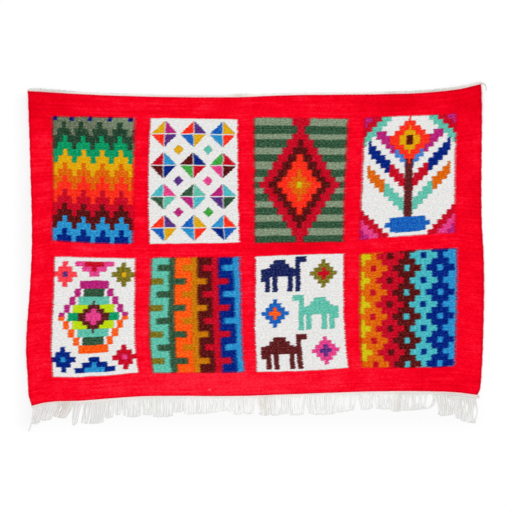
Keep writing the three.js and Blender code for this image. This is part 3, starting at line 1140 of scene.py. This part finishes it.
# %% Give each panel's faces its material
face_middle = cloth_loom[cloth_faces].mean(axis=1) / MM
slots = np.zeros(len(cloth_faces), dtype=np.int32)
for (column, row), (name, *rest) in PANELS.items():
    material = make_panel(column, row, name, *rest)
    cloth.data.materials.append(material)
    left, right, low, high = sides_of(column, row)
    across, up = face_middle.T
    inside = (across > left - MARGIN) & (across < right + MARGIN)
    inside = inside & (up > low - MARGIN) & (up < high + MARGIN)
    slots[inside] = len(cloth.data.materials) - 1
    print(name, len(material.node_tree.nodes), "nodes,", int(inside.sum()), "faces")
cloth.data.polygons.foreach_set("material_index", slots)

# %% [markdown]
# ## Yarn
#
# Fringe, headings and loose ends are all plied yarn: two strands twisted round each other.
# Curves with a bevel would do, but hundreds of them are slow. So each kind is one mesh, which a
# single function makes from all its paths at once. A thick twined cord gets real lobes that
# turn along it. On a thin warp the twist is finer than its mesh, and the finish draws it.


# %% Tubes along many paths at once
def yarns(name, paths, radii, sides, roots, lobes=0.0, turn_length=6.6, flat=1.0):
    """Closed tubes along paths of points in millimetres, as one piece.

    paths is yarns by points by 3, radii is yarns by points, and roots gives each yarn's
    place along the cloth. The cross-section has two lobes that turn once in turn_length.
    """
    count, steps, _ = paths.shape
    run = np.gradient(paths, axis=1)
    run /= np.linalg.norm(run, axis=2, keepdims=True)
    side = np.cross(run, (0.0, 0.0, 1.0))
    side /= np.linalg.norm(side, axis=2, keepdims=True)
    above = np.cross(side, run)
    gone = np.linalg.norm(np.diff(paths, axis=1), axis=2)
    along = np.concatenate([np.zeros((count, 1)), np.cumsum(gone, axis=1)], axis=1)

    angle = np.arange(sides) * 2 * np.pi / sides
    turned = angle - (along * 2 * np.pi / turn_length)[..., None]
    radius = radii[..., None] * (1 + lobes * np.cos(2 * turned))
    rings = (
        paths[:, :, None, :]
        + side[:, :, None, :] * (radius * np.cos(angle))[..., None]
        + above[:, :, None, :] * (radius * np.sin(angle) * flat)[..., None]
    )
    ends = paths[:, [0, -1], None, :]
    points = np.concatenate([rings.reshape(count, -1, 3), ends.reshape(count, -1, 3)], axis=1)
    points = points + np.array([SHIFT_X, SHIFT_Y, 0.0])

    ring = np.arange(steps * sides).reshape(steps, sides)
    after = np.roll(ring, -1, axis=1)
    walls = np.stack([ring[:-1], ring[1:], after[1:], after[:-1]], axis=-1).reshape(-1, 4)
    first, last = steps * sides, steps * sides + 1
    caps = [(first, int(a), int(b)) for a, b in zip(ring[0], after[0])]
    caps += [(last, int(b), int(a)) for a, b in zip(ring[-1], after[-1])]

    place = np.arange(sides)
    turns = np.stack([place, place, place + 1, place + 1], axis=-1) / sides
    step_of = np.arange(steps - 1)[:, None, None] + np.array([0, 1, 1, 0])
    step_of = np.broadcast_to(step_of, (steps - 1, sides, 4))
    ply, warp, faces = [], [], []
    per_yarn = steps * sides + 2
    for index in range(count):
        base = index * per_yarn
        faces += (walls + base).tolist()
        faces += [tuple(corner + base for corner in cap) for cap in caps]
        length = along[index][step_of] * MM
        ply.append(np.stack([np.broadcast_to(turns, length.shape), length], axis=-1).reshape(-1, 2))
        ply.append(np.tile([[0.5, 0.0]], (3 * sides, 1)))
        ply.append(np.tile([[0.5, along[index, -1] * MM]], (3 * sides, 1)))
        part_way = np.full((steps - 1, sides, 4, 2), roots[index] * MM)
        part_way[..., 1] = step_of / (steps - 1)
        warp.append(part_way.reshape(-1, 2))
        warp.append(np.tile([[roots[index] * MM, 0.0]], (3 * sides, 1)))
        warp.append(np.tile([[roots[index] * MM, 1.0]], (3 * sides, 1)))
    maps = {"Ply": np.concatenate(ply), "Warp": np.concatenate(warp)}
    return new_piece(name, points.reshape(-1, 3) * MM, faces, maps)


# %% [markdown]
# ## The fringe
#
# Below the cloth the warps hang out in clumps, because twist makes neighbours cling. One table
# says for each clump which warps it takes, where its tips lie and how far they reach. Another
# lists the slits, where neighbours part for some of the way and meet again before the tips.
# Finer slits are drawn at random, no two warps are cut alike, and a few lie across the others.

# %% Fringe tables, in millimetres along the cloth
CLUMPS = [
    # last root, first and last tip, reach of the first and of the last, bow
    (8, -12, -7, 90, 90, 3),
    (46, -3, 29, 64, 71, -2),
    (87, 30, 64, 63, 62, 0),
    (144, 65, 115, 50, 60, 2),
    (174, 138, 154, 84, 75, -3),
    (246, 165, 243, 79, 82, 2),
    (277, 246, 274, 65, 66, 1),
    (302, 281, 300, 57, 57, 1),
    (319, 306, 317, 60, 61, 0),
    (367, 322, 366, 69, 68, 1),
    (406, 373, 405, 62, 65, 2),
    (478, 408, 476, 72, 70, 1),
    (513, 478, 511, 56, 54, 0),
    (558, 512, 557, 62, 62, 0),
    (652, 558, 655, 63, 50, 2),
    (676, 654, 677, 50, 52, 0),
    (705, 678, 703, 62, 63, 1),
    (752, 714, 746, 60, 62, 1),
    (796, 764, 796, 64, 70, 0),
    (860, 798, 857, 69, 67, 1),
    (921, 864, 915, 70, 72, 1),
    (1020, 932, 1021, 70, 74, -1),
    (1093, 1021, 1086, 69, 62, 0),
    (1151, 1108, 1149, 63, 58, 1),
    (1205, 1160, 1205, 59, 62, 3),
    (1245, 1207, 1245, 66, 70, 0),
    (1353, 1247, 1343, 68, 58, 2),
    (1427, 1369, 1426, 84, 76, 2),
    (1495, 1427, 1495, 90, 101, 6),
]
SLITS = [
    # root, width, part of the way down where it opens and where it closes
    (106, 6, 0.15, 0.8),
    (187, 3, 0.2, 0.85),
    (265, 4, 0.2, 0.75),
    (335, 4, 0.02, 0.45),
    (349, 4, 0.02, 0.5),
    (359, 3, 0.3, 0.85),
    (391, 4, 0.1, 0.7),
    (434, 5, 0.15, 0.8),
    (466, 4, 0.2, 0.8),
    (484, 4, 0.1, 0.5),
    (534, 5, 0.08, 0.7),
    (546, 4, 0.1, 0.75),
    (612, 3, 0.1, 0.6),
    (798, 4, 0.3, 0.7),
    (831, 8, 0.1, 0.75),
    (876, 5, 0.1, 0.75),
    (903, 6, 0.12, 0.7),
    (967, 3, 0.2, 0.7),
    (1029, 5, 0.1, 0.75),
    (1059, 8, 0.1, 0.8),
    (1080, 4, 0.15, 0.7),
    (1133, 5, 0.05, 0.5),
    (1155, 6, 0.15, 0.8),
    (1185, 5, 0.02, 0.45),
    (1211, 5, 0.05, 0.4),
    (1252, 5, 0.1, 0.5),
    (1273, 9, 0.15, 0.85),
    (1298, 9, 0.12, 0.75),
    (1318, 10, 0.08, 0.75),
    (1340, 22, 0.04, 0.95),
    (1404, 6, 0.25, 0.65),
    (1417, 5, 0.2, 0.75),
    (1446, 5, 0.2, 0.5),
    (1460, 5, 0.3, 0.65),
    (1486, 8, 0.35, 0.85),
]
HEADING = 7.0  # how far out the heading reaches
GAP = 0.3  # from the cloth to the yarns beyond it
WARP_END = 2.6  # from one warp end to the next
WARP_RADIUS = 1.42
FLAT = 0.6  # how flat a warp end lies
FRINGE_POINTS = 20  # points along one warp end
CUT_SHORT = 0.03  # share of the warps that are a fifth shorter
CROSSING = 0.06  # share of the warps that lie across others
ASIDE = 10  # how far aside their tips may lie
FINE_SLITS = 70  # how many narrow slits are drawn at random
PUSHED = 0.65  # how far a slit pushes a warp beside it, as a part of the slit's width
PUSH_REACH = 10  # how far from the slit that is felt
FRINGE_SEED = 7


# %% Fringe yarns
def fringe_paths(rng):
    """Paths and radii of all warps of the fringe, and their places along the cloth."""
    last_root, first_tip, last_tip, first_reach, last_reach, bow = np.array(CLUMPS, float).T
    first_root = np.concatenate([[3], last_root[:-1]])
    roots = np.arange(5, WIDTH - 6, WARP_END)
    roots = roots + rng.uniform(-0.4, 0.4, len(roots))
    clump = np.minimum(np.searchsorted(last_root, roots), len(last_root) - 1)
    share = (roots - first_root[clump]) / (last_root - first_root)[clump]
    tips = first_tip[clump] + share * (last_tip - first_tip)[clump]
    reach = first_reach[clump] + share * (last_reach - first_reach)[clump]

    count = len(roots)
    t = np.linspace(0, 1, FRINGE_POINTS)[None, :]
    shorter = 1 - 0.05 * rng.random(count) - 0.06 * np.abs(2 * share - 1) ** 3
    shorter[rng.random(count) < CUT_SHORT] *= 0.8
    crossing = np.where(rng.random(count) < CROSSING, rng.uniform(-ASIDE, ASIDE, count), 0)
    root_x, root_y = plan(roots, np.zeros(count))
    tip_x, _ = plan(tips + crossing + rng.normal(0, 0.7, count), np.zeros(count))
    bend = bow[clump] + rng.normal(0, 0.4, count)
    wave = rng.normal(0, 0.45, count)
    phase = rng.uniform(0, 2 * np.pi, count)
    begun = GAP + HEADING * 0.4
    x = root_x[:, None] + (tip_x - root_x)[:, None] * t**1.1
    x = x + bend[:, None] * np.sin(np.pi * t)
    x = x + wave[:, None] * np.sin(2.5 * np.pi * t + phase[:, None]) * t
    opens = rng.uniform(0.05, 0.5, FINE_SLITS)
    fine = [rng.uniform(0, WIDTH, FINE_SLITS), rng.uniform(0.4, 1.5, FINE_SLITS), opens]
    fine = np.stack([*fine, opens + rng.uniform(0.25, 0.5, FINE_SLITS)], axis=1)
    for place, wide, opens, closes in [*SLITS, *fine]:
        off = roots - place
        pushed = np.sign(off) * np.exp(-np.abs(off) / PUSH_REACH) * wide * PUSHED
        lens = np.sin(np.pi * np.clip((t - opens) / (closes - opens), 0, 1)) ** 0.75
        x = x + pushed[:, None] * lens
    y = root_y[:, None] - (begun + (reach * shorter - begun)[:, None] * t)
    radius = WARP_RADIUS * (1 - 0.12 * rng.random(count))
    radii = radius[:, None] * (1 - 0.35 * np.clip((t - 0.93) / 0.07, 0, 1))
    over = (np.abs(crossing) > 0) * 1.2 + 0.08 * rng.random(count)
    z = radii * FLAT + 0.2 + over[:, None] * np.sin(np.pi * np.clip(t * 1.1, 0, 1)) ** 0.7
    z = z + 0.7 * np.exp(-t * 14)
    return np.stack([x, y, z], axis=-1), radii, roots


fringe_way, fringe_radii, fringe_roots = fringe_paths(np.random.default_rng(FRINGE_SEED))
fringe = yarns("Fringe", fringe_way, fringe_radii, 6, fringe_roots, flat=FLAT)
print("fringe:", len(fringe_roots), "warp ends,", len(fringe.data.polygons), "faces")

# %% [markdown]
# ## The headings
#
# Before the fringe hangs free, two rows of cord are twined across the warps to hold the last
# weft. Their two strands cross between every pair of warps, which makes beads. Two strands
# could be wound round each other for each row, but a single tube with two turning lobes looks
# the same from outside and has no hidden faces. The upper end has the same two rows, and above
# them the warps are cut off and frayed.


# %% Twined cords along an end of the cloth
CORD_STEP = 0.8  # from one point of a cord to the next
CORD_SWAYS = [(23, 0.25), (9, 0.15)]  # over what length over two pi a cord sways, and how far
CORD_LOBES = 0.2  # how far its strands stand out, as a part of its radius
CORD_FLAT = 0.85  # how flat it lies
CORD_SEEDS = {-1: 3, 1: 4}  # for the lower and for the upper end


def straight_lines(rows):
    """A function that goes straight from each row's value to the next."""
    at, value = np.array(rows, dtype=float).T
    return lambda place: np.interp(place, at, value)


def cord_paths(end, rows, spread, last):
    """Paths and radii of cords that follow an end of the cloth, one for each row."""
    rng = np.random.default_rng(CORD_SEEDS[end])
    along = np.arange(0.0, last, CORD_STEP)
    x, y = plan(along, np.full_like(along, 0.0 if end < 0 else LENGTH))
    x = x + np.maximum(along - WIDTH, 0)
    under = lift(x, y) + unevenness(x, y) * RIM_UNEVEN
    wider = spread(along)
    paths, radii = [], []
    for out, radius in rows:
        sway = sum(np.sin(along / span + rng.uniform(0, 6)) * far for span, far in CORD_SWAYS)
        height = under + radius * wider * 1.03
        paths.append(np.stack([x, y + end * (out * wider + sway), height], axis=-1))
        radii.append(radius * wider)
    return np.array(paths), np.array(radii)


# distance outside the cloth and radius of each row, and how much wider they are along the end
LOWER_ROWS = [(1.5, 1.75), (4.9, 1.65)]
UPPER_ROWS = [(1.4, 1.7), (4.6, 1.6)]
LOWER_SPREAD = straight_lines([(0, 1), (1330, 1), (1400, 1.5), (1500, 1.45)])
UPPER_SPREAD = straight_lines([(0, 1), (120, 1), (170, 0.9), (400, 0.9), (430, 0.7), (660, 0.7),
                               (685, 1.2), (725, 1.2), (750, 0.8), (1500, 0.9)])  # fmt: skip


def make_heading(name, end, rows, spread, last):
    """The twined cords of the lower end, -1, or the upper end, 1, up to a last place."""
    paths, radii = cord_paths(end, rows, spread, last)
    roots = np.arange(len(rows))
    return yarns(name, paths, radii, 8, roots, lobes=CORD_LOBES, flat=CORD_FLAT)


lower_heading = make_heading("LowerHeading", -1, LOWER_ROWS, LOWER_SPREAD, WIDTH + 4.0)
upper_heading = make_heading("UpperHeading", 1, UPPER_ROWS, UPPER_SPREAD, WIDTH + 1.0)
print("headings:", len(lower_heading.data.polygons), len(upper_heading.data.polygons), "faces")

# %% [markdown]
# ## The frayed upper end
#
# The cut warps above the upper heading have opened into short tufts, longer where the heading
# is broader. Hair could stand for them, but it is lost in an exported mesh, so they are thin
# tapering tubes from the same function as the fringe. The end of the twining yarn hangs loose
# at the right corner and curls down beside the selvedge.

# %% Tufts and the loose end
TUFT_REACH = straight_lines([(0, 7), (20, 10.5), (115, 10.5), (165, 8), (404, 8), (430, 7),
                             (655, 7), (685, 12), (725, 12), (750, 8), (1130, 8), (1200, 9),
                             (1500, 10)])  # fmt: skip
TUFT_SPACE = 1.55  # from one tuft to the next
TUFT_RADIUS = 0.85
TUFT_SEED = 21
# how far inside the corner the loose end begins, how far out and down it goes, and its radius
LOOSE_END = {"inside": 4, "out": 17, "drop": 26, "thick": 1.4}


def tuft_paths(rng):
    """Paths and radii of the tufts, and their places along the cloth."""
    roots = np.arange(2, WIDTH - 2, TUFT_SPACE)
    roots = roots + rng.uniform(-0.6, 0.6, len(roots))
    count = len(roots)
    x, y = plan(roots, np.full(count, LENGTH))
    under = lift(x, y) + unevenness(x, y) * RIM_UNEVEN
    t = np.linspace(0, 1, 5)[None, :]
    reach = TUFT_REACH(roots) * rng.uniform(0.72, 1.08, count) + 0.6
    lean = rng.normal(0, 1.6, count)
    start = GAP + 2.0
    out_y = y[:, None] + start + (reach - start)[:, None] * t
    out_x = x[:, None] + lean[:, None] * t**1.5
    radii = TUFT_RADIUS * (1 - 0.45 * t) * rng.uniform(0.75, 1.1, count)[:, None]
    z = under[:, None] + 1.5 - 0.5 * t + rng.uniform(-0.4, 0.5, count)[:, None] * t
    return np.stack([out_x, out_y, z], axis=-1), radii, roots


def loose_end_path():
    """Path and radii of the loose end."""
    t = np.linspace(0, 1, 90)
    x, y = plan(np.array([WIDTH]), np.array([LENGTH]))
    under = lift(x, y)
    turn = np.sin(np.minimum(1, t * 1.2) * np.pi / 2)
    path_x = x - LOOSE_END["inside"] + (LOOSE_END["inside"] + LOOSE_END["out"]) * turn
    path_y = y + GAP + 4.0 - LOOSE_END["drop"] * t**2.2
    path_z = under * (1 - t) ** 1.5 + LOOSE_END["thick"] * 1.25
    path = np.stack([path_x, path_y, path_z], axis=-1)[None]
    radii = LOOSE_END["thick"] * (1 - 0.4 * np.clip((t - 0.9) / 0.1, 0, 1))[None]
    return path, radii


tuft_way, tuft_radii, tuft_roots = tuft_paths(np.random.default_rng(TUFT_SEED))
tufts = yarns("FrayedEnds", tuft_way, tuft_radii, 5, tuft_roots)
loose_end = yarns("LooseEnd", *loose_end_path(), 8, [WIDTH], CORD_LOBES, turn_length=5.5)
print("tufts:", len(tufts.data.polygons), "faces")

# %% [markdown]
# ## Undyed yarn
#
# The warps are undyed wool, off-white, and no two quite the same shade. They are greyer
# towards both sides of the rug, neighbours are tinted alike, and in a few places they are tan,
# rosy or greenish. The cord beside the cloth is tinged a little red. A material for each warp
# would be hundreds, so one finish reads each yarn's place along the cloth from its texture map.
# The twist shows as two fine grooves that wind round each yarn, as a bump and as painted shade
# in the colour.

# %% Undyed yarn finish
NATURAL_SHADES = [
    # place along the cloth from 0 to 1, screen colour
    (0.0, (232, 230, 228)),
    (0.15, (237, 235, 233)),
    (0.25, (245, 244, 241)),
    (0.4, (251, 250, 248)),
    (0.7, (250, 249, 247)),
    (0.83, (240, 239, 236)),
    (0.92, (236, 234, 231)),
    (1.0, (235, 233, 230)),
]
CORD_SHADES = [
    (0.0, (240, 234, 229)),
    (0.15, (252, 246, 242)),
    (0.8, (252, 246, 242)),
    (0.92, (240, 235, 231)),
]
GREENISH, ROSY = (0.74, 0.84, 0.72, 1.0), (0.87, 0.78, 0.77, 1.0)  # tints of neighbours
NEIGHBOURS = 13  # how wide a run of warps is tinted alike
TAN = (0.6, 0.46, 0.34, 1.0)
ROSE = (0.78, 0.58, 0.56, 1.0)
MOSS = (0.42, 0.45, 0.34, 1.0)
RED_TINGE = (1.0, 0.55, 0.55, 1.0)
COOL_TIP = (0.78, 0.82, 0.95, 1.0)
WARP_TINTS = [
    # place along the cloth, reach, colour, strength
    (40, 30, ROSE, 0.1),
    (116, 40, TAN, 0.34),
    (430, 110, MOSS, 0.1),
    (782, 30, TAN, 0.22),
    (790, 40, MOSS, 0.08),
    (1234, 30, TAN, 0.12),
    (1290, 70, MOSS, 0.05),
    (1400, 60, MOSS, 0.08),
]
END_TINTS = [
    (75, 95, MOSS, 0.4),
    (530, 160, ROSE, 0.3),
    (700, 36, TAN, 0.35),
    (1206, 30, TAN, 0.35),
    (1340, 170, MOSS, 0.4),
]


def undyed(name, twist, tints, is_cord=False, lighter_tips=0.0):
    """Plied undyed yarn. twist is the length of one turn of it in millimetres."""
    finish = Finish(name)
    around, along = finish.place("Ply")
    root, way = finish.place("Warp")
    beside_cloth = 1.0 - root
    shades = NATURAL_SHADES
    if is_cord:
        root, shades = along, CORD_SHADES
    stops = [(place, (*map(linear, levels), 1.0)) for place, levels in shades]
    colour = finish.node("ShaderNodeValToRGB", {"stops": stops}, [root / WIDTH])
    tint = finish.mix(finish.noise(root, way * 0.0, NEIGHBOURS, 1, 6.1), GREENISH, ROSY)
    colour = finish.mix(0.08 if is_cord else 0.17, colour, tint)
    strand = finish.chance(whole(root * 0.7), way * 0.0)
    for middle, reach, tint, strength in tints:
        amount = finish.spot(root, way * 0.0, middle, 0, reach, 1) * strength
        colour = finish.mix(amount * (strand + 0.5), colour, tint)
    if is_cord:
        colour = finish.mix((beside_cloth | 0.0) * 0.24, colour, RED_TINGE)
    else:
        colour = finish.mix(way * 0.00012, colour, COOL_TIP)
    ply = rounded(around * 0.002 + along * (2 / twist))
    fibre = finish.noise(along + root * 3.1, around * 0.004, 1.6, 0.5, 2.2, 1.0) - 0.5
    # painted shade: the ply's grooves are darker in the colour; strand and fibre are random tone
    shade = 0.97 + ply * 0.04 + (strand - 0.5) * 0.02 + fibre * 0.05
    tip = way * (0.001 * lighter_tips) + 1.0
    return finish.bumped(finish.scaled(colour, shade * tip), ply, 0.3 if is_cord else 0.18)


fringe.data.materials.append(undyed("UndyedWarp", 7.0, WARP_TINTS, lighter_tips=0.03))
for piece in (lower_heading, upper_heading, loose_end):
    tints = WARP_TINTS if piece is lower_heading else END_TINTS
    piece.data.materials.append(undyed(piece.name + "Yarn", 3.2, tints, is_cord=True))
tufts.data.materials.append(undyed("FrayedYarn", 4.0, END_TINTS, lighter_tips=-0.04))

# %% [markdown]
# ## The floor
#
# A broad pale floor carries the rug. Its finish is barely uneven, so that it takes soft shadows
# without drawing the eye. Close to the rug it is a little darker, and that shade reaches
# further on the left and below, where the rug keeps off more of the light from a real window.
# The lamp alone casts too thin a shadow from so flat a thing, so the floor's colour adds it.

# %% Floor
FLOOR_SIZE = 14.0  # in metres
FLOOR_TONES = [(level, level, level, 1.0) for level in (0.955, 0.975)]
SHADE, LEFT_SHADE, RIGHT_LIGHT = 0.045, 0.04, 0.033  # beside the rug, more left, less right
SIDE_FROM, SIDE_RUN = 700, 60  # where left and right begin, and over how far they grow
FLOOR_ROUGHNESS, FLOOR_GLOSS = 0.9, 0.1
SHADE_REACHES = [
    # direction, distance of the rug's edge that way, how far its shade reaches
    (-1, 0, 752, 62),
    (1, 0, 752, 14),
    (0, -1, 540, 62),
    (0, 1, 516, 30),
]

bpy.ops.mesh.primitive_grid_add(x_subdivisions=8, y_subdivisions=8, size=FLOOR_SIZE)
floor = bpy.context.active_object
floor.name = "Floor"
floor_finish = Finish("PaleFloor")
floor_x, floor_y = (wire * FLOOR_SIZE - FLOOR_SIZE * 500 for wire in floor_finish.place("UVMap"))
spot = floor_finish.node("ShaderNodeTexNoise", {}, {"Scale": 3.0, "Detail": 2.0})
tone = floor_finish.mix(spot, *FLOOR_TONES)
squares = 0.0
for to_x, to_y, edge, reach in SHADE_REACHES:
    out = ((floor_x * to_x + floor_y * to_y - edge) / reach) | 0.0
    squares = out * out + squares
near = (1.0 - squares.math("SQRT")) | 0.0
leftness = ((floor_x * -1.0 - SIDE_FROM) / SIDE_RUN | 0.0) & 1.0
rightness = ((floor_x - SIDE_FROM) / SIDE_RUN | 0.0) & 1.0
darker = near * (leftness * LEFT_SHADE + SHADE - rightness * RIGHT_LIGHT)
tone = floor_finish.scaled(tone, 1.0 - darker)
floor_finish.tree.links.new(tone.socket, floor_finish.shader.inputs["Base Color"])
floor_finish.shader.inputs["Roughness"].default_value = FLOOR_ROUGHNESS
floor_finish.shader.inputs["Specular IOR Level"].default_value = FLOOR_GLOSS
floor.data.materials.append(floor_finish.material)

# %% [markdown]
# ## Handing the pieces to the frame
#
# Each piece rides on the rug's one body and stands for a solid of the imported model.

# %% Ride and replace
PIECES = [
    # piece, solid that it stands for, slot
    (cloth, "field", "dyed_wool"),
    (fringe, "fringe", "fringe_yarn"),
    (lower_heading, "fringe", "fringe_yarn"),
    (upper_heading, "top_edge", "heading_yarn"),
    (tufts, "top_edge", "heading_yarn"),
    (loose_end, "top_edge", "heading_yarn"),
]
for piece, node, slot in PIECES:
    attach(piece, "root")
    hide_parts(node)
    heights = [corner.co.z / MM for corner in piece.data.vertices]
    print(piece.name, "lies from", round(min(heights), 2), "to", round(max(heights), 2), "mm")
